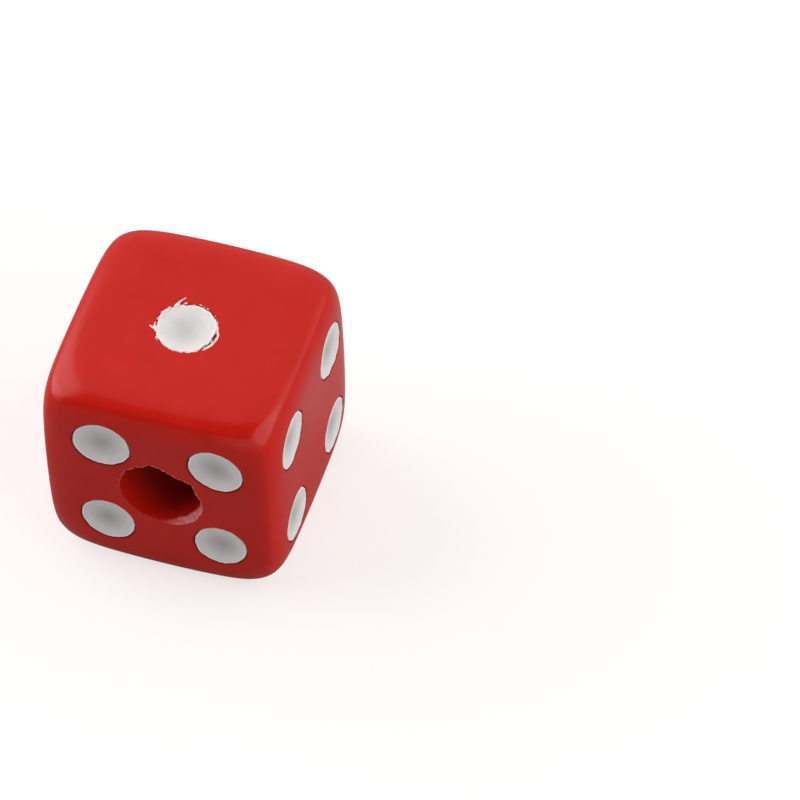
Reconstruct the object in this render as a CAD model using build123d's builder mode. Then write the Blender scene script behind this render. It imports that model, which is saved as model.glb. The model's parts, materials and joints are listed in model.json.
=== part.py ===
from build123d import *
import os

# Dice bead: a six-sided die with rounded edges and sunk, painted pips, drilled right through so
# that it can be threaded on a cord. Millimetres, +Z up, origin at the centre of the cube. Opposite
# faces add up to seven: the one is on top (+Z), the five in front (-Y) and the four at the right
# (+X). The bore runs along Y, from the five to the two, and takes the place of the middle pip of
# the five.

# Driving dimensions
edge = 8.0
edge_round = 1.0
bore_radius = 1.3
pip_pitch = 1.93
pip_radius = 0.95
pip_radius_one = 1.0
pip_radius_six = 0.88
one_offset = (-0.10, -0.09)
five_offset = (0.19, 0.18)
seat_wall = 0.10
seat_dish = 0.22
paint_at_rim = 0.03
paint_at_middle = 0.08

# The six faces. Each plane has its Z out of the die.
half = edge / 2
top = Plane(origin=(0, 0, half), x_dir=(1, 0, 0), z_dir=(0, 0, 1))
bottom = Plane(origin=(0, 0, -half), x_dir=(1, 0, 0), z_dir=(0, 0, -1))
front = Plane(origin=(0, -half, 0), x_dir=(1, 0, 0), z_dir=(0, -1, 0))
back = Plane(origin=(0, half, 0), x_dir=(-1, 0, 0), z_dir=(0, 1, 0))
right = Plane(origin=(half, 0, 0), x_dir=(0, 1, 0), z_dir=(1, 0, 0))
left = Plane(origin=(-half, 0, 0), x_dir=(0, -1, 0), z_dir=(-1, 0, 0))

# Where a face has pips, in pitches across and up from the middle of its pattern
middle_only = [(0, 0)]
diagonal_pair = [(-1, 1), (1, -1)]
diagonal_three = [(-1, 1), (0, 0), (1, -1)]
corners = [(-1, 1), (1, 1), (-1, -1), (1, -1)]
rows_of_three = [(-1, 1), (0, 1), (1, 1), (-1, -1), (0, -1), (1, -1)]


def spots(steps, offset=(0, 0)):
    """Places of pips in millimetres from the middle of the face."""
    return [(across * pip_pitch + offset[0], up * pip_pitch + offset[1]) for across, up in steps]


# What is on each face: its plane, the radius of its pips, and their places. The one sits a little
# off the middle of its face. So does the five, which has no middle pip because the bore is there.
faces = {
    "one": (top, pip_radius_one, spots(middle_only, one_offset)),
    "two": (back, pip_radius, spots(diagonal_pair)),
    "three": (left, pip_radius, spots(diagonal_three)),
    "four": (right, pip_radius, spots(corners)),
    "five": (front, pip_radius, spots(corners, five_offset)),
    "six": (bottom, pip_radius_six, spots(rows_of_three)),
}


def section_planes(face, places):
    """The cross section plane of each pip of a face: its X along the face, its Y out of the face."""
    centres = [face.from_local_coords((across, up, 0)) for across, up in places]
    return [Plane(origin=centre, x_dir=face.x_dir, z_dir=-face.y_dir) for centre in centres]


def dish_sphere(rim_radius, depth):
    """Radius of the sphere that makes a dish of this rim radius and this depth."""
    return (rim_radius**2 + depth**2) / (2 * depth)


# The body: a cube with rounded edges, a seat for each pip, and the bore.
# A seat has a short upright wall at the face and a shallow round dish below it.
with BuildPart() as die_body:
    Box(edge, edge, edge)
    fillet(die_body.edges(), edge_round)
    for face, radius, places in faces.values():
        for section in section_planes(face, places):
            with BuildSketch(section):
                with BuildLine():
                    middle = Line((0, -seat_wall - seat_dish), (0, seat_wall))
                    mouth = Line(middle @ 1, (radius, seat_wall))
                    wall = Line(mouth @ 1, (radius, -seat_wall))
                    RadiusArc(wall @ 1, middle @ 0, dish_sphere(radius, seat_dish))
                make_face()
            revolve(axis=Axis(section.origin, section.y_dir), mode=Mode.SUBTRACT)
    with BuildSketch(front):
        with Locations(five_offset):
            Circle(bore_radius)
    extrude(amount=-edge, mode=Mode.SUBTRACT)
die_body.part.label = "die_body"

os.makedirs("parts", exist_ok=True)
export_step(die_body.part, "parts/die_body.step")

# The paint: a thin dished coat in each seat, on the dish, thinner at its rim than in the middle.
coat_dish = seat_dish + paint_at_rim - paint_at_middle
for name, (face, radius, places) in faces.items():
    for number, section in enumerate(section_planes(face, places), start=1):
        with BuildPart() as pip:
            with BuildSketch(section):
                with BuildLine():
                    under = RadiusArc(
                        (radius, -seat_wall), (0, -seat_wall - seat_dish), dish_sphere(radius, seat_dish)
                    )
                    middle = Line(under @ 1, under @ 1 + (0, paint_at_middle))
                    over = RadiusArc(
                        middle @ 1, (radius, paint_at_rim - seat_wall), -dish_sphere(radius, coat_dish)
                    )
                    Line(over @ 1, under @ 0)
                make_face()
            revolve(axis=Axis(section.origin, section.y_dir))
        pip.part.label = f"pip_{name}_{number}"
        export_step(pip.part, f"parts/{pip.part.label}.step")
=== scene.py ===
import json
import math

import bmesh
import bpy
import numpy as np
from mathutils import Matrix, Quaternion, Vector
from mathutils.geometry import delaunay_2d_cdt


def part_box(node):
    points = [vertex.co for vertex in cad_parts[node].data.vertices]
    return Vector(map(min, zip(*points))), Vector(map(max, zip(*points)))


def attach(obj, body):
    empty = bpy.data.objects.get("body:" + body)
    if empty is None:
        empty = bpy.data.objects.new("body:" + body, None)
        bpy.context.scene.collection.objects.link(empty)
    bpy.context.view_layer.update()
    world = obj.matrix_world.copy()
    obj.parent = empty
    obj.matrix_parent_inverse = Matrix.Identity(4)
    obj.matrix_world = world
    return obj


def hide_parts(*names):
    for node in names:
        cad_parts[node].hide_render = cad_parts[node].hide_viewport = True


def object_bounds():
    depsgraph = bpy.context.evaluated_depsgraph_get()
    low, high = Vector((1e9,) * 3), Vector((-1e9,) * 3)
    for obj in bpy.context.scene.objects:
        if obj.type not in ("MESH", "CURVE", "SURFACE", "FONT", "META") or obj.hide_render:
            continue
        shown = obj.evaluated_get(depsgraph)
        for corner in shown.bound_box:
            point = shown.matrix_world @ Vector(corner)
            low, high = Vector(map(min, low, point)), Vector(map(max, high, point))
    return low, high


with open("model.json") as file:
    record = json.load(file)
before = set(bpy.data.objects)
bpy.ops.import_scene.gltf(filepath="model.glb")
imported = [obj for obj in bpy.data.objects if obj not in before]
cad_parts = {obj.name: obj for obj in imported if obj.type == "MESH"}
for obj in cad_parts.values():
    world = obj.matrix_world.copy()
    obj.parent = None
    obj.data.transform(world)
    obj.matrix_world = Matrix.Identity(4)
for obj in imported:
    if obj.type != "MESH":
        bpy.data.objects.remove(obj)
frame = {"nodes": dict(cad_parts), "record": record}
cad_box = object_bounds()

# A dice bead in red acrylic with sunk white pips, drilled through from the five to the two.
# Shapes are worked out in millimetres in the frame's own axes, and made in metres by MM.
MM = 0.001
HALF = (cad_box[1].x - cad_box[0].x) / 2 / MM
FLOOR = cad_box[0].z

# The body: a soft cube whose faces have been flattened
SQUARENESS = 6.75
CROWN = 0.067
FLATTENED = 0.0635
GRID_STEPS = 64

# A pip's seat: a rounded lip, a short wall, and a dish
RING_STEPS = 120
LIP = 0.034
WALL = 0.10
DISH = 0.26

# The lip's rounding: pairs of inset and depth, as shares of LIP
LIP_PROFILE = ((0.25, 0.04), (0.50, 0.14), (0.75, 0.34), (0.92, 0.61), (1.0, 1.0))

# A pip's paint: a groove round it, a raised rim, and a dish with a faint cone at its middle
GROOVE = 0.026
PAINT_TOP = 0.010
PAINT_STEP = 0.010
PAINT_DISH = 0.09
PAINT_CONE = 0.03

# How far the paint's underside keeps off the dish
UNDERSIDE_GAP = 0.006

# The rim's rounding: pairs of inset and drop
RIM_WIDTH = 0.050
RIM_PROFILE = ((0.0, 0.030), (0.006, 0.012), (0.018, 0.002), (0.036, 0.0), (RIM_WIDTH, 0.006))

# The bore. Its wall starts and ends a little below its two mouths.
MOUTH_LIP = 0.040
BORE_STEPS = 240
WALL_STEPS = 56
WALL_START = 0.36
WALL_END = 0.95

# Swellings of the bore's edge, with direction and width in degrees, height, and how square they are
RAGGED_FRONT = (
    (165, 95, 0.10, 4),
    (100, 11, 0.11, 2),
    (68, 12, -0.09, 2),
    (43, 11, 0.10, 2),
    (141, 8, 0.05, 2),
    (-36, 28, -0.06, 2),
    (-130, 30, 0.03, 2),
)
TORN_BACK = ((134, 24, 0.66, 4), (40, 40, 0.12, 4), (215, 30, 0.16, 2), (300, 25, 0.10, 2))
TEAR_EVERYWHERE = 0.06
TEAR_DEPTH = 0.42
FULLY_TORN = 0.6

# Each face's directions: across, up and out
FACES = {
    "one": ((1, 0, 0), (0, 1, 0), (0, 0, 1)),
    "two": ((-1, 0, 0), (0, 0, 1), (0, 1, 0)),
    "three": ((0, -1, 0), (0, 0, 1), (-1, 0, 0)),
    "four": ((0, 1, 0), (0, 0, 1), (1, 0, 0)),
    "five": ((1, 0, 0), (0, 0, 1), (0, -1, 0)),
    "six": ((1, 0, 0), (0, -1, 0), (0, 0, -1)),
}

# Struck and painted by hand, the pips aren't all one size
PIP_SCALE = {
    "pip_one_1": 0.99,
    "pip_four_1": 1.02,
    "pip_four_2": 1.05,
    "pip_five_1": 1.05,
    "pip_five_2": 0.99,
    "pip_five_3": 0.98,
    "pip_five_4": 0.96,
}

# The torn end of the bore runs into this pip and cuts it short
CUT_PIP = "pip_two_1"
CUT_AT = 0.42


# ---------------------------------------------------------------- the soft cube


def soften(flat):
    """Places (across, up, out) on the soft cube's face for flat places, with the sharp face at 1."""
    sharp = np.column_stack([flat, np.ones(len(flat))])
    length = (np.abs(sharp) ** SQUARENESS).sum(axis=1) ** (1 / SQUARENESS)
    places = sharp / length[:, None]
    places *= 1 - CROWN * ((places**2).sum(axis=1, keepdims=True) - 1) / 2
    places[:, 2] -= FLATTENED * (1 - flat[:, 0] ** 2) * (1 - flat[:, 1] ** 2)
    return places


def reach():
    """How far out a softened face comes, with the sharp face at 1."""
    steps = np.linspace(0, 1, 101)
    return soften(np.stack(np.meshgrid(steps, steps), axis=-1).reshape(-1, 2))[:, 2].max()


# The whole is enlarged until its faces reach as far out as the CAD's
AMPLE = HALF / reach()


def on_face(face, flat):
    """Points of the soft cube for flat places (across, up) on one face of the sharp cube."""
    flat = np.asarray(flat, float).reshape(-1, 2) / HALF
    return AMPLE * soften(flat) @ np.array(FACES[face], float)


def normal_at(face, flat):
    """The soft cube's outward direction at one flat place."""
    step = 0.01
    here, east, north = on_face(face, [flat, (flat[0] + step, flat[1]), (flat[0], flat[1] + step)])
    normal = np.cross(east - here, north - here)
    return normal / np.linalg.norm(normal)


def flat_place(face, point):
    """The flat place that comes to lie over a real point of a face, and the stretch there."""
    across, up = (np.array(axis, float) for axis in FACES[face][:2])
    target = np.array([point @ across, point @ up])
    place = target.copy()
    for _ in range(6):
        real = on_face(face, place)[0]
        place = place + target - np.array([real @ across, real @ up])
    step = 0.01
    nearby = on_face(face, [place + (step, 0), place - (step, 0)])
    return place, 2 * step / ((nearby[0] - nearby[1]) @ across)


# ---------------------------------------------------------------- holes in a face


def turns(count):
    """Angles once round a ring."""
    return np.linspace(0, 2 * math.pi, count, endpoint=False)


def waver(count, size, low, high, rng):
    """An uneven line round a ring, as the sum of waves from low to high per turn."""
    line = np.zeros(count)
    for waves in range(low, high + 1):
        line += rng.normal() * np.cos(waves * turns(count) + rng.uniform(0, 2 * math.pi))
    return size * line / math.sqrt(high - low + 1)


def angle_from(count, degrees):
    """How far each angle of a ring is from one direction, in degrees, at most 180."""
    away = np.degrees(turns(count)) - degrees
    return np.abs((away + 180) % 360 - 180)


def bump(count, degrees, width, height, power=2):
    """A smooth swelling of a ring at one direction."""
    return height * np.exp(-((angle_from(count, degrees) / width) ** power))


def bumps(count, swellings):
    """The sum of several swellings."""
    return sum(bump(count, *swelling) for swelling in swellings)


class Hole:
    """A round opening in one face. radii are real, and round a real centre."""

    def __init__(self, face, point, radii, rng):
        self.face = face
        self.rng = rng
        self.place, self.stretch = flat_place(face, np.asarray(point, float))
        self.normal = normal_at(face, self.place)
        self.radii = radii
        self.angles = turns(len(radii))

    def flat_ring(self, radii):
        """Flat places of a ring round the hole."""
        spokes = np.stack([np.cos(self.angles), np.sin(self.angles)], axis=1)
        return self.place + spokes * (radii * self.stretch)[:, None]

    def ring(self, radii, depth):
        """Points of a ring that lies depth below the face."""
        surface = on_face(self.face, self.flat_ring(radii))
        return surface - self.normal * np.reshape(depth, (-1, 1))

    def middle(self, depth):
        """The point depth below the middle of the hole."""
        return on_face(self.face, self.place) - self.normal * depth

    def covers(self, flat, margin):
        """Which flat places lie in the hole, or within margin of it."""
        away = (flat - self.place) / self.stretch
        angle = np.arctan2(away[:, 1], away[:, 0]) % (2 * math.pi)
        edge = np.interp(angle, self.angles, self.radii, period=2 * math.pi)
        return np.hypot(away[:, 0], away[:, 1]) < edge + margin


# ---------------------------------------------------------------- making meshes


class Shape:
    """The points, faces and wear and painted shade of one piece while it is being made.

    The value is above 0 where the acrylic is torn, and where the paint is at its rim, which is pinker
    there and lighter as a painted highlight. It is below 0 for dirt and painted shade in the groove
    round each pip, and for painted shade deep in the bore and in the middle of each paint dish.
    """

    def __init__(self):
        self.points = np.zeros((0, 3))
        self.worn = np.zeros(0)
        self.faces = []

    def add(self, points, worn=0.0):
        """Adds points, and returns their numbers."""
        first = len(self.points)
        points = np.asarray(points, float).reshape(-1, 3)
        self.points = np.vstack([self.points, points])
        self.worn = np.append(self.worn, np.broadcast_to(worn, len(points)))
        return list(range(first, len(self.points)))

    def band(self, outer, inner):
        """Quads between two rings."""
        count = len(outer)
        for i in range(count):
            j = (i + 1) % count
            self.faces.append((outer[i], outer[j], inner[j], inner[i]))

    def fan(self, ring, tip):
        """Triangles from a ring to one point."""
        for i in range(len(ring)):
            self.faces.append((ring[i], ring[(i + 1) % len(ring)], tip))


def make_piece(name, shape, material, node=None):
    """Makes the piece, closes its seams, and lets it ride on the body."""
    mesh = bpy.data.meshes.new(name)
    mesh.from_pydata((shape.points * MM).tolist(), [], shape.faces)
    worn = mesh.attributes.new("worn", "FLOAT", "POINT")
    worn.data.foreach_set("value", shape.worn.astype(np.float32))
    work = bmesh.new()
    work.from_mesh(mesh)
    bmesh.ops.remove_doubles(work, verts=work.verts, dist=1e-7)
    bmesh.ops.recalc_face_normals(work, faces=work.faces)
    work.to_mesh(mesh)
    work.free()
    mesh.shade_smooth()
    mesh.materials.append(material)
    piece = bpy.data.objects.new(name, mesh)
    bpy.context.scene.collection.objects.link(piece)
    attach(piece, "root")
    if node:
        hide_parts(node)
    return piece


def cover_face(shape, face, holes):
    """One face of the body: a fine grid with holes in it. Returns the numbers of each hole's rim."""
    steps = np.linspace(-HALF, HALF, GRID_STEPS + 1)
    grid = np.stack(np.meshgrid(steps, steps), axis=-1).reshape(-1, 2)
    for hole in holes:
        grid = grid[~hole.covers(grid, 0.11)]
    flat = [grid]
    edges = []
    rims = []
    count = len(grid)
    for hole in holes:
        for margin in (0.075, 0.035, 0.012, 0.0):
            ring = hole.flat_ring(hole.radii + margin)
            flat.append(ring)
            numbers = range(count, count + len(ring))
            edges += [(numbers[i], numbers[(i + 1) % len(ring)]) for i in range(len(ring))]
            count += len(ring)
        rims.append(numbers)
    flat = np.vstack(flat)
    made = delaunay_2d_cdt([Vector(p) for p in flat], edges, [], 0, 1e-6, True)
    made_flat = np.array([tuple(v) for v in made[0]])
    triangles = np.array([f for f in made[2]])
    middles = made_flat[triangles].mean(axis=1)
    keep = np.ones(len(triangles), bool)
    for hole in holes:
        keep &= ~hole.covers(middles, 0.0)
    numbers = shape.add(on_face(face, made_flat))
    shape.faces += [tuple(numbers[i] for i in t) for t in triangles[keep]]
    place_of = {old: new for new, olds in enumerate(made[3]) for old in olds}
    return [[numbers[place_of[i]] for i in rim] for rim in rims]


# ---------------------------------------------------------------- pips


def pip_nodes(face):
    """The names of a face's pips."""
    return sorted(n for n in frame["nodes"] if n.startswith(f"pip_{face}_"))


def pip_hole(name):
    """The opening of one pip, from its node's box. The one's paint fills its seat and laps over."""
    face = name.split("_")[1]
    laps_over = face == "one"
    low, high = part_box(name)
    centre = np.array((low + high) / 2) / MM
    radius = max(high - low) / 2 / MM * PIP_SCALE.get(name, 1.0)
    rng = np.random.default_rng(sum(ord(c) for c in name) * 7)
    radii = radius * (1 + waver(RING_STEPS, 0.016 if laps_over else 0.008, 3, 18, rng))
    lower_right = 5.8
    rougher_side = 0.5 * (1 + np.cos(turns(RING_STEPS) - lower_right))
    radii += rougher_side * waver(RING_STEPS, 0.008, 18, 40, rng)
    gap = np.zeros(RING_STEPS)
    if laps_over:
        radii += bump(RING_STEPS, 109, 4, -0.07) + bump(RING_STEPS, -18, 22, -0.05, 4)
        gap += bump(RING_STEPS, -16, 26, 0.055, 4)
    if name == CUT_PIP:
        towards_bore = angle_from(RING_STEPS, -45)
        line = CUT_AT / np.cos(np.radians(np.minimum(towards_bore, 80)))
        line += waver(RING_STEPS, 0.02, 6, 20, rng)
        radii = np.minimum(radii, line)
    hole = Hole(face, centre, radii + gap + LIP, rng)
    hole.name = name
    hole.paint_edge = radii - (0.004 if laps_over else GROOVE)
    # How much painted shade greys the dish's middle: less in the one, on top, where more light falls
    hole.pooled = 0.70 if laps_over else 1.0
    return hole


def sink_pip(shape, hole, rim):
    """The body's seat for a pip: lip, wall and dish, with dirt and painted shade in the groove round the
    paint.
    """
    wall = hole.radii - LIP
    previous = rim
    for inset, depth in LIP_PROFILE:
        # Dirt and painted shade: darker the deeper the lip goes into the groove
        dirt_and_shade = -0.9 * depth**0.4
        ring = shape.add(hole.ring(hole.radii - LIP * inset, LIP * depth), dirt_and_shade)
        shape.band(previous, ring)
        previous = ring
    foot = wall - 0.004
    # The wall at the foot of the groove is painted darkest, as shade with some dirt
    ring = shape.add(hole.ring(foot, WALL), -1.0)
    shape.band(previous, ring)
    previous = ring
    for share in (0.9, 0.7, 0.45, 0.2):
        ring = shape.add(hole.ring(foot * share, WALL + DISH * (1 - share**2)))
        shape.band(previous, ring)
        previous = ring
    shape.fan(previous, shape.add(hole.middle(WALL + DISH))[0])


def paint_pip(hole, material):
    """The paint in a pip: a closed dish with a raised, uneven rim."""
    shape = Shape()
    edge = hole.paint_edge - np.abs(waver(RING_STEPS, 0.010, 4, 30, hole.rng))
    swell = waver(RING_STEPS, 0.006, 2, 12, hole.rng)
    # The rim rings are marked 1: pinker thin paint, and lighter as a painted highlight
    bottom = shape.add(hole.ring(edge + 0.006, WALL + 0.01), 1.0)
    previous = bottom
    for inset, drop in RIM_PROFILE:
        ring = shape.add(hole.ring(edge - inset, PAINT_TOP + drop + swell), 1.0)
        shape.band(previous, ring)
        previous = ring
    dish = edge - RIM_WIDTH
    dish_top = PAINT_TOP + PAINT_STEP
    for share in (0.97, 0.93, 0.88, 0.80, 0.70, 0.58, 0.46, 0.34, 0.22, 0.12, 0.05):
        level = dish_top + PAINT_DISH * (1 - share**2) + PAINT_CONE * (1 - share)
        near_rim = max(0.0, (share - 0.93) / 0.07)
        near_middle = max(0.0, 1 - share / 0.75) ** 0.8
        # Lighter towards the rim as a painted highlight, greyer towards the middle as painted shade
        worn = 0.5 * near_rim - hole.pooled * near_middle
        ring = shape.add(hole.ring(dish * share, level + swell * share**4), worn)
        shape.band(previous, ring)
        previous = ring
    # The dish's lowest point gets the most painted shade
    lowest = shape.add(hole.middle(dish_top + PAINT_DISH + PAINT_CONE), -hole.pooled)
    shape.fan(previous, lowest[0])
    previous = bottom
    for share in (0.7, 0.4):
        ring = shape.add(hole.ring(edge * share, WALL + DISH * (1 - share**2) - UNDERSIDE_GAP))
        shape.band(previous, ring)
        previous = ring
    shape.fan(previous, shape.add(hole.middle(WALL + DISH - UNDERSIDE_GAP))[0])
    make_piece(hole.name.replace("pip", "paint"), shape, material, hole.name)


# ---------------------------------------------------------------- the bore


def bore_mount():
    """The bore's centre and radius, as the record gives them."""
    mount = next(m for m in frame["record"]["mounts"] if m["name"] == "bore")
    return np.array(mount["pos_m"]) / MM, mount["dims"]["r_mm"]


def front_mouth():
    """The five's end of the bore: a ragged edge, and a chip knocked off at the lower right."""
    centre, radius = bore_mount()
    rng = np.random.default_rng(11)
    edge = radius + bumps(BORE_STEPS, RAGGED_FRONT)
    rough = 0.4 + 0.6 * bump(BORE_STEPS, 75, 75, 1, 4)
    edge += rough * waver(BORE_STEPS, 0.022, 8, 34, rng)
    chip = bump(BORE_STEPS, -36, 44, 0.125, 4) * (1 + waver(BORE_STEPS, 0.12, 3, 14, rng))
    hole = Hole("five", centre, edge + chip + MOUTH_LIP, rng)
    hole.edge = edge
    hole.chip = chip
    return hole


def back_mouth():
    """The two's end of the bore, where the drill broke out and tore a channel into a pip."""
    centre, radius = bore_mount()
    rng = np.random.default_rng(23)
    edge = radius + waver(BORE_STEPS, 0.03, 4, 30, rng)
    tear = bumps(BORE_STEPS, TORN_BACK) + TEAR_EVERYWHERE
    tear *= 1 + waver(BORE_STEPS, 0.12, 5, 26, rng)
    hole = Hole("two", centre, edge + tear + MOUTH_LIP, rng)
    hole.edge = edge
    hole.tear = tear
    return hole


def tear_depth(torn, inward):
    """How deep the torn mouth lies, from where it is most torn (1) and how far inward (0 to 1)."""
    return 0.02 + (0.16 + TEAR_DEPTH * torn) * inward**0.7


def bore_ring(face, edge, depth):
    """A ring of the bore's wall, depth in from one face, at the angles of that face."""
    across, up, out = (np.array(axis, float) for axis in FACES[face])
    centre = bore_mount()[0]
    angles = turns(BORE_STEPS)[:, None]
    spokes = np.cos(angles) * across + np.sin(angles) * up
    middle = centre - out * (centre @ out)
    return middle + spokes * np.reshape(edge, (-1, 1)) + out * (HALF - np.reshape(depth, (-1, 1)))


def finish_front(shape, front, rim):
    """The lip in the five, with its pale raised burr and its chip. Returns its innermost ring."""
    whiten = 0.06 + 0.94 * bump(BORE_STEPS, 72, 80, 1, 4)
    speckle = np.clip(0.7 + waver(BORE_STEPS, 0.6, 14, 60, front.rng), 0, 1)
    chipped = front.chip / front.chip.max()
    burr = whiten * speckle * (1 - chipped)
    raised = -0.016 * burr
    outside = front.edge + front.chip
    lip_rings = (
        (outside + MOUTH_LIP * 0.6, raised, 0.9 * burr + 0.5 * chipped),
        (outside + MOUTH_LIP * 0.2, raised + 0.004, burr + 0.75 * chipped),
        (front.edge + front.chip * 0.85, 0.02 + 0.05 * chipped, 0.8 * burr + 0.50 * chipped),
        (front.edge + front.chip * 0.50, 0.03 + 0.11 * chipped, 0.42 * chipped),
        (front.edge + front.chip * 0.15, 0.04 + 0.15 * chipped, 0.62 * chipped),
        (front.edge - 0.004, 0.05 + 0.18 * chipped, 0.30 * chipped),
        (front.edge - 0.006, 0.09 + 0.22 * chipped, 0.0),
    )
    previous = rim
    for radii, depth, worn in lip_rings:
        ring = shape.add(front.ring(radii, depth), worn)
        shape.band(previous, ring)
        previous = ring
    return previous


def line_bore(shape, front, previous):
    """The wall, faintly scored, with painted shade that makes it darker and less glossy further in.
    Returns its innermost ring.
    """
    radius = bore_mount()[1]
    for depth in np.linspace(WALL_START, 2 * HALF - WALL_END, WALL_STEPS):
        inside = depth - 0.3
        settle = (front.edge - radius) * math.exp(-(inside / 0.7))
        score = 0.003 * math.sin(depth * 9.0) + waver(BORE_STEPS, 0.004, 6, 30, front.rng)
        # Painted shade: the wall is darkened further into the bore, where less light reaches
        painted_shade_further_in = -0.40 * min(1.0, inside)
        ring = shape.add(bore_ring("five", radius - 0.004 + settle + score, depth), painted_shade_further_in)
        shape.band(previous, ring)
        previous = ring
    return previous


def finish_back(shape, back, rim, wall_end):
    """The torn break-out in the two, down to the end of the wall."""
    torn = np.clip(back.tear / FULLY_TORN, 0, 1)
    previous = rim
    for share in (0.03, 0.10, 0.22, 0.36, 0.50, 0.64, 0.78, 0.90, 1.0):
        radii = back.edge + back.tear * (1 - share)
        middling = math.sin(math.pi * share)
        depth = tear_depth(torn, share)
        depth += waver(BORE_STEPS, 0.035 * middling, 6, 44, back.rng) * (0.4 + torn)
        radii = radii + waver(BORE_STEPS, 0.020 * middling, 8, 50, back.rng)
        pale = 1.0 if share < 0.3 else 0.55
        worn = np.clip(0.40 + waver(BORE_STEPS, 0.50, 8, 50, back.rng), 0.1, 1) * pale
        ring = shape.add(back.ring(radii, depth), worn)
        shape.band(previous, ring)
        previous = ring
    mirrored = [wall_end[(BORE_STEPS // 2 - i) % BORE_STEPS] for i in range(BORE_STEPS)]
    shape.band(previous, mirrored)


# ---------------------------------------------------------------- flakes and crumbs


def sliver(shape, path, width, height, rng):
    """A thin closed curl along a path of points: three-sided, uneven, and pointed at both ends."""
    path = np.asarray(path, float)
    rings = []
    for i in range(1, len(path) - 1):
        along = path[i + 1] - path[i - 1]
        out = path[i] / np.linalg.norm(path[i])
        side = np.cross(along, out)
        side = side / np.linalg.norm(side)
        share = math.sin(math.pi * i / (len(path) - 1)) ** 0.5 * rng.uniform(0.55, 1.25)
        corners = [path[i] + side * width * share / 2, path[i] - side * width * share / 2]
        corners.append(path[i] + out * height * share)
        # Flakes take the paint's rim colour: pinker, and lighter as a painted highlight
        rings.append(shape.add(corners, 1.0))
    for first, second in zip(rings, rings[1:]):
        shape.band(first, second)
    shape.fan(rings[0], shape.add(path[0], 1.0)[0])
    shape.fan(rings[-1], shape.add(path[-1], 1.0)[0])


def arc_on(hole, start, end):
    """Points along a face from one (angle in degrees, radius) to another."""
    count = 12
    angles = np.radians(np.linspace(start[0], end[0], count))
    radii = np.linspace(start[1], end[1], count) * hole.stretch
    flat = hole.place + np.stack([np.cos(angles), np.sin(angles)], axis=1) * radii[:, None]
    return on_face(hole.face, flat)


def crumb(shape, point, size, rng, worn):
    """A small closed grain of swarf: the hull of a few random points."""
    cloud = rng.normal(size=(9, 3))
    cloud = cloud / np.linalg.norm(cloud, axis=1)[:, None] * size * rng.uniform(0.5, 1.0, (9, 1))
    work = bmesh.new()
    verts = [work.verts.new(p) for p in cloud]
    hull = bmesh.ops.convex_hull(work, input=verts)
    bmesh.ops.delete(work, geom=hull["geom_interior"], context="VERTS")
    work.verts.index_update()
    numbers = shape.add([np.array(v.co) + point for v in work.verts], worn)
    shape.faces += [tuple(numbers[v.index] for v in f.verts) for f in work.faces]
    work.free()


# ---------------------------------------------------------------- materials


def new_material(name):
    """An empty node material with its shader, ready for links."""
    material = bpy.data.materials.new(name)
    material.use_nodes = True
    nodes = material.node_tree.nodes
    return material, nodes, material.node_tree.links, nodes["Principled BSDF"]


def noise(nodes, links, coordinates, scale, detail):
    """A noise texture, with its scale in waves per millimetre."""
    texture = nodes.new("ShaderNodeTexNoise")
    texture.inputs["Scale"].default_value = scale / MM
    texture.inputs["Detail"].default_value = detail
    links.new(coordinates.outputs["Object"], texture.inputs["Vector"])
    return texture


def ramp(nodes, links, source, stops):
    """A colour ramp from (place, colour) stops."""
    node = nodes.new("ShaderNodeValToRGB")
    elements = node.color_ramp.elements
    while len(elements) < len(stops):
        elements.new(0.5)
    for element, (place, colour) in zip(elements, stops):
        element.position = place
        element.color = (*colour, 1)
    links.new(source, node.inputs["Fac"])
    return node


def mixed(nodes, links, share, first, colour):
    """An output mixed with a plain colour or with another output."""
    node = nodes.new("ShaderNodeMix")
    node.data_type = "RGBA"
    links.new(share, node.inputs["Factor"])
    links.new(first, node.inputs["A"])
    if isinstance(colour, tuple):
        node.inputs["B"].default_value = (*colour, 1)
    else:
        links.new(colour, node.inputs["B"])
    return node.outputs["Result"]


def wear_and_shade_shares(nodes, links):
    """The parts of the wear and painted shade attribute above zero and below it, each from 0 to 1."""
    wear_and_shade_attribute = nodes.new("ShaderNodeAttribute")
    wear_and_shade_attribute.attribute_name = "worn"
    shares = []
    for sign in (1, -1):
        node = nodes.new("ShaderNodeMath")
        node.operation = "MULTIPLY"
        node.use_clamp = True
        node.inputs[1].default_value = sign
        links.new(wear_and_shade_attribute.outputs["Fac"], node.inputs[0])
        shares.append(node.outputs[0])
    return shares


def spread(nodes, links, source, low, high):
    """A share from 0 to 1, spread over the range from low to high."""
    node = nodes.new("ShaderNodeMapRange")
    node.inputs["To Min"].default_value = low
    node.inputs["To Max"].default_value = high
    links.new(source, node.inputs["Value"])
    return node


def bumped(nodes, links, shader, source, strength, depth):
    """Surface relief from a texture, with its depth in millimetres."""
    node = nodes.new("ShaderNodeBump")
    node.inputs["Strength"].default_value = strength
    node.inputs["Distance"].default_value = depth * MM
    links.new(source, node.inputs["Height"])
    links.new(node.outputs["Normal"], shader.inputs["Normal"])
    return node


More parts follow.
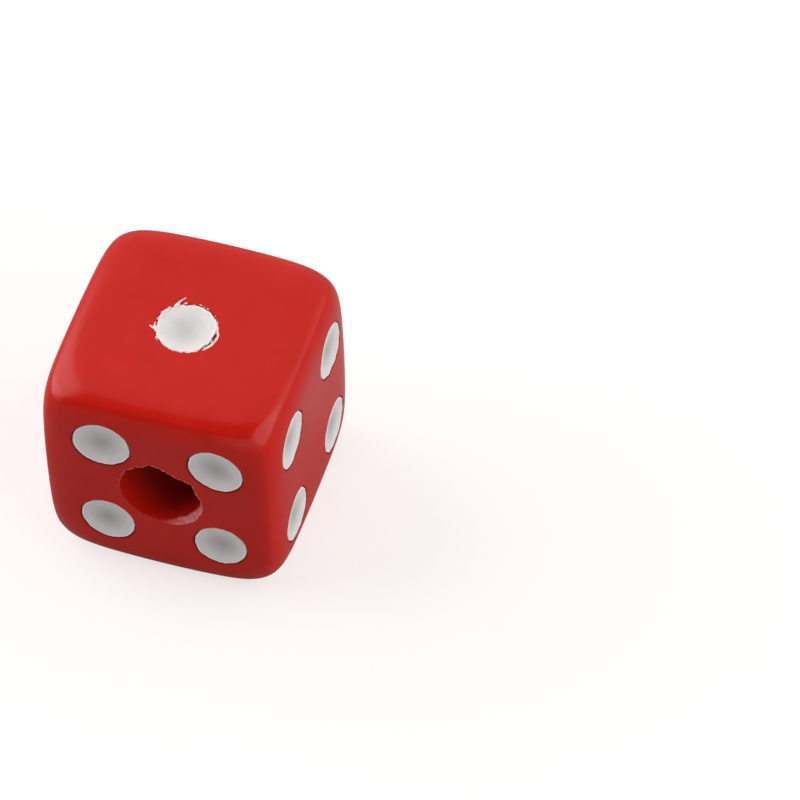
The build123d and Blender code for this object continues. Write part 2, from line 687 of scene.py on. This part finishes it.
def red_acrylic():
    """Opaque red acrylic: a soft tumbled gloss, paler where it is torn, and darker with less gloss under
    dirt and painted shade in the pip grooves and deep in the bore.
    """
    material, nodes, links, shader = new_material("red_acrylic")
    coordinates = nodes.new("ShaderNodeTexCoord")
    reds = ((0.3, (0.545, 0.0105, 0.0055)), (0.7, (0.59, 0.0125, 0.0068)))
    pales = ((0.35, (0.68, 0.27, 0.25)), (0.65, (0.88, 0.56, 0.53)))
    # Dark red for dirt and painted shade in the pip grooves, and for painted shade deep in the bore
    dirt_and_shade = (0.10, 0.018, 0.015)
    mottle = noise(nodes, links, coordinates, 0.9, 4)
    red = ramp(nodes, links, mottle.outputs["Fac"], reds)
    grain = noise(nodes, links, coordinates, 7, 3)
    pale = ramp(nodes, links, grain.outputs["Fac"], pales)
    torn, grime_and_shade = wear_and_shade_shares(nodes, links)
    # Darkened where the value is below 0, by dirt and painted shade
    whole = mixed(nodes, links, grime_and_shade, red.outputs["Color"], dirt_and_shade)
    colour = mixed(nodes, links, torn, whole, pale.outputs["Color"])
    links.new(colour, shader.inputs["Base Color"])
    polish = noise(nodes, links, coordinates, 3.5, 5)
    gloss = spread(nodes, links, polish.outputs["Fac"], 0.15, 0.27)
    links.new(gloss.outputs["Result"], shader.inputs["Roughness"])
    relief = bumped(nodes, links, shader, polish.outputs["Fac"], 0.25, 0.004)
    links.new(relief.outputs["Normal"], shader.inputs["Coat Normal"])
    shader.inputs["Specular IOR Level"].default_value = 0.03
    # The coat thins where the acrylic is torn, and under dirt and painted shade
    damage_and_shade = nodes.new("ShaderNodeMath")
    damage_and_shade.operation = "ADD"
    links.new(torn, damage_and_shade.inputs[0])
    links.new(grime_and_shade, damage_and_shade.inputs[1])
    lustre = spread(nodes, links, damage_and_shade.outputs[0], 0.47, 0.05)
    lustre.inputs["From Max"].default_value = 0.07
    links.new(lustre.outputs["Result"], shader.inputs["Coat Weight"])
    shader.inputs["Coat Roughness"].default_value = 0.19
    shader.inputs["Subsurface Weight"].default_value = 0.12
    shader.inputs["Subsurface Radius"].default_value = (1.0, 0.12, 0.08)
    shader.inputs["Subsurface Scale"].default_value = 0.5 * MM
    return material


def white_paint():
    """Satin white paint: greyer in the middle of each dish as painted shade, and pinker along its thin
    rim, with a painted highlight that makes the rim brighter.
    """
    material, nodes, links, shader = new_material("white_paint")
    coordinates = nodes.new("ShaderNodeTexCoord")
    whites = ((0.3, (0.735, 0.705, 0.705)), (0.7, (0.805, 0.775, 0.775)))
    # Painted shade for the middle of each dish
    dish_shade_grey = (0.47, 0.45, 0.45)
    # Pinker thin paint at the rim, made brighter as a painted highlight
    rim_pink_highlight = (0.97, 0.83, 0.82)
    mottle = noise(nodes, links, coordinates, 2.2, 6)
    white = ramp(nodes, links, mottle.outputs["Fac"], whites)
    rim, pooled = wear_and_shade_shares(nodes, links)
    filled = mixed(nodes, links, pooled, white.outputs["Color"], dish_shade_grey)
    links.new(mixed(nodes, links, rim, filled, rim_pink_highlight), shader.inputs["Base Color"])
    fine = noise(nodes, links, coordinates, 9, 5)
    bumped(nodes, links, shader, fine.outputs["Fac"], 0.35, 0.006)
    gloss = spread(nodes, links, fine.outputs["Fac"], 0.42, 0.58)
    links.new(gloss.outputs["Result"], shader.inputs["Roughness"])
    shader.inputs["Specular IOR Level"].default_value = 0.35
    return material


# ---------------------------------------------------------------- building the bead


def build_bead():
    """The body with its seats and bore, and the paint in each seat."""
    red = red_acrylic()
    white = white_paint()
    shape = Shape()
    mouths = {"five": front_mouth(), "two": back_mouth()}
    mouth_rims = {}
    pips = {}
    for face in FACES:
        pip_holes = [pip_hole(name) for name in pip_nodes(face)]
        extra = [mouths[face]] if face in mouths else []
        rims = cover_face(shape, face, pip_holes + extra)
        for hole, rim in zip(pip_holes, rims):
            sink_pip(shape, hole, rim)
            pips[hole.name] = hole
        if extra:
            mouth_rims[face] = rims[-1]
    front_lip = finish_front(shape, mouths["five"], mouth_rims["five"])
    wall_end = line_bore(shape, mouths["five"], front_lip)
    finish_back(shape, mouths["two"], mouth_rims["two"], wall_end)
    make_piece("bead_body", shape, red, "die_body")
    for hole in pips.values():
        paint_pip(hole, white)
    return red, white, pips, mouths


def scatter_flakes(white, hole):
    """Curls and flecks of paint that stick out round the one."""
    rng = np.random.default_rng(5)
    shape = Shape()
    rim = hole.radii.mean()
    # The start and end of each curl, as angle in degrees and share of the rim, and its width
    curls = (
        ((134, 0.93), (109, 1.21), 0.11),
        ((130, 0.92), (119, 1.06), 0.12),
        ((112, 0.96), (107, 1.02), 0.07),
        ((172, 0.96), (136, 0.94), 0.12),
        ((160, 0.99), (142, 0.98), 0.08),
        ((201, 0.93), (191, 1.16), 0.09),
        ((206, 0.95), (186, 1.02), 0.11),
        ((27, 0.94), (8, 0.99), 0.07),
        ((4, 1.05), (-22, 1.08), 0.09),
        ((-18, 1.08), (-44, 1.05), 0.10),
        ((-70, 0.96), (-50, 1.01), 0.09),
        ((-98, 0.94), (-76, 0.97), 0.06),
    )
    for start, end, width in curls:
        path = arc_on(hole, (start[0], start[1] * rim), (end[0], end[1] * rim))
        sliver(shape, path, width, 0.016, rng)
    flecks = 46
    for _ in range(flecks):
        degrees = rng.uniform(0, 360)
        radius = rim * rng.uniform(0.95, 1.02)
        turn = rng.uniform(2, 8)
        path = arc_on(hole, (degrees, radius), (degrees + turn, radius + rng.normal(0, 0.02)))
        sliver(shape, path, rng.uniform(0.03, 0.07), 0.010, rng)
    make_piece("paint_flakes_one", shape, white)


def scatter_crumbs(red, back):
    """Grains of swarf that stick to the torn end of the bore, most of them where it is torn most."""
    rng = np.random.default_rng(31)
    shape = Shape()
    torn_most = TORN_BACK[0][0]
    crumbs = 90
    for _ in range(crumbs):
        degrees = rng.normal(torn_most, 38) if rng.random() < 0.75 else rng.uniform(0, 360)
        share = rng.uniform(0.1, 0.95)
        index = int(degrees / 360 * BORE_STEPS) % BORE_STEPS
        angle = math.radians(degrees)
        radius = (back.edge[index] + back.tear[index] * share) * back.stretch
        flat = back.place + radius * np.array([math.cos(angle), math.sin(angle)])
        torn = min(1.0, back.tear[index] / FULLY_TORN)
        depth = tear_depth(torn, 1 - share) - 0.01
        point = on_face("two", flat)[0] - back.normal * depth
        crumb(shape, point, rng.uniform(0.015, 0.05), rng, rng.uniform(0.5, 1.0))
    make_piece("drill_crumbs_two", shape, red)


# ---------------------------------------------------------------- floor, light and camera


def lay_floor():
    """A plain pale floor. Its glow is seen by the camera alone, as overexposed paper looks."""
    size = 3.0
    mesh = bpy.data.meshes.new("floor")
    corners = [(-size, -size, FLOOR), (size, -size, FLOOR), (size, size, FLOOR), (-size, size, FLOOR)]
    mesh.from_pydata(corners, [], [(0, 1, 2, 3)])
    floor = bpy.data.objects.new("floor", mesh)
    bpy.context.scene.collection.objects.link(floor)
    material, nodes, links, shader = new_material("pale_floor")
    shader.inputs["Base Color"].default_value = (0.36, 0.355, 0.355, 1)
    shader.inputs["Roughness"].default_value = 0.9
    shader.inputs["Specular IOR Level"].default_value = 0.1
    shader.inputs["Emission Color"].default_value = (1, 0.945, 0.93, 1)
    seen = nodes.new("ShaderNodeLightPath")
    overexposed = nodes.new("ShaderNodeMath")
    overexposed.operation = "MULTIPLY"
    overexposed.inputs[1].default_value = 0.70
    links.new(seen.outputs["Is Camera Ray"], overexposed.inputs[0])
    links.new(overexposed.outputs[0], shader.inputs["Emission Strength"])
    mesh.materials.append(material)


def direction(azimuth, elevation):
    """The direction at two angles. Azimuth 0 is in front of the five, and a quarter turn by the four."""
    level = math.cos(elevation)
    return Vector((math.sin(azimuth) * level, -math.cos(azimuth) * level, math.sin(elevation)))


def add_sun(name, azimuth, elevation, strength, width):
    """A soft lamp at infinity, with its place and width in degrees."""
    lamp = bpy.data.lights.new(name, "SUN")
    lamp.energy = strength
    lamp.angle = math.radians(width)
    sun = bpy.data.objects.new(name, lamp)
    bpy.context.scene.collection.objects.link(sun)
    towards_lamp = direction(math.radians(azimuth), math.radians(elevation))
    sun.rotation_euler = (-towards_lamp).to_track_quat("-Z", "Y").to_euler()


def light_scene():
    """A light tent: soft boxes at both sides, a weak one low in front, and pale walls behind."""
    add_sun("box_left", 267, 31, 1.84, 66)
    add_sun("box_left_low", 282, 5, 0.86, 60)
    add_sun("box_right_front", 87, 30, 1.62, 64)
    add_sun("box_right", 118, 22, 0.28, 50)
    add_sun("box_front_low", 30, 6, 0.84, 75)
    world = bpy.data.worlds.new("tent")
    bpy.context.scene.world = world
    world.use_nodes = True
    nodes, links = world.node_tree.nodes, world.node_tree.links
    background = nodes["Background"]
    background.inputs["Color"].default_value = (1, 1, 1, 1)
    coordinates = nodes.new("ShaderNodeTexCoord")
    behind = nodes.new("ShaderNodeVectorMath")
    behind.operation = "DOT_PRODUCT"
    towards_back = (-0.30, 0.95, 0.0)
    behind.inputs[1].default_value = towards_back
    links.new(coordinates.outputs["Generated"], behind.inputs[0])
    fade = spread(nodes, links, behind.outputs["Value"], 0.03, 0.68)
    fade.interpolation_type = "SMOOTHSTEP"
    fade.inputs["From Max"].default_value = 0.15
    links.new(fade.outputs["Result"], background.inputs["Strength"])
    bpy.context.scene.view_settings.view_transform = "Standard"


def place_camera():
    """A long lens well above the bead, which stands left of the middle of the view."""
    azimuth, elevation, roll = (math.radians(x) for x in (19.4, 51.3, -2.1))
    distance = 0.1915
    focal_length = 260.4
    aim = Vector((5.16, 5.09, -4.0)) * MM
    camera = bpy.data.objects.new("camera", bpy.data.cameras.new("camera"))
    bpy.context.scene.collection.objects.link(camera)
    camera.data.lens = focal_length
    camera.data.clip_start = 0.01
    camera.data.clip_end = 20.0
    back = direction(azimuth, elevation)
    camera.location = aim + back * distance
    turn = (-back).to_track_quat("-Z", "Y") @ Quaternion((0, 0, 1), roll)
    camera.rotation_euler = turn.to_euler()
    bpy.context.scene.camera = camera


place_camera()
light_scene()
lay_floor()
red, white, pips, mouths = build_bead()
scatter_flakes(white, pips["pip_one_1"])
scatter_crumbs(red, mouths["two"])
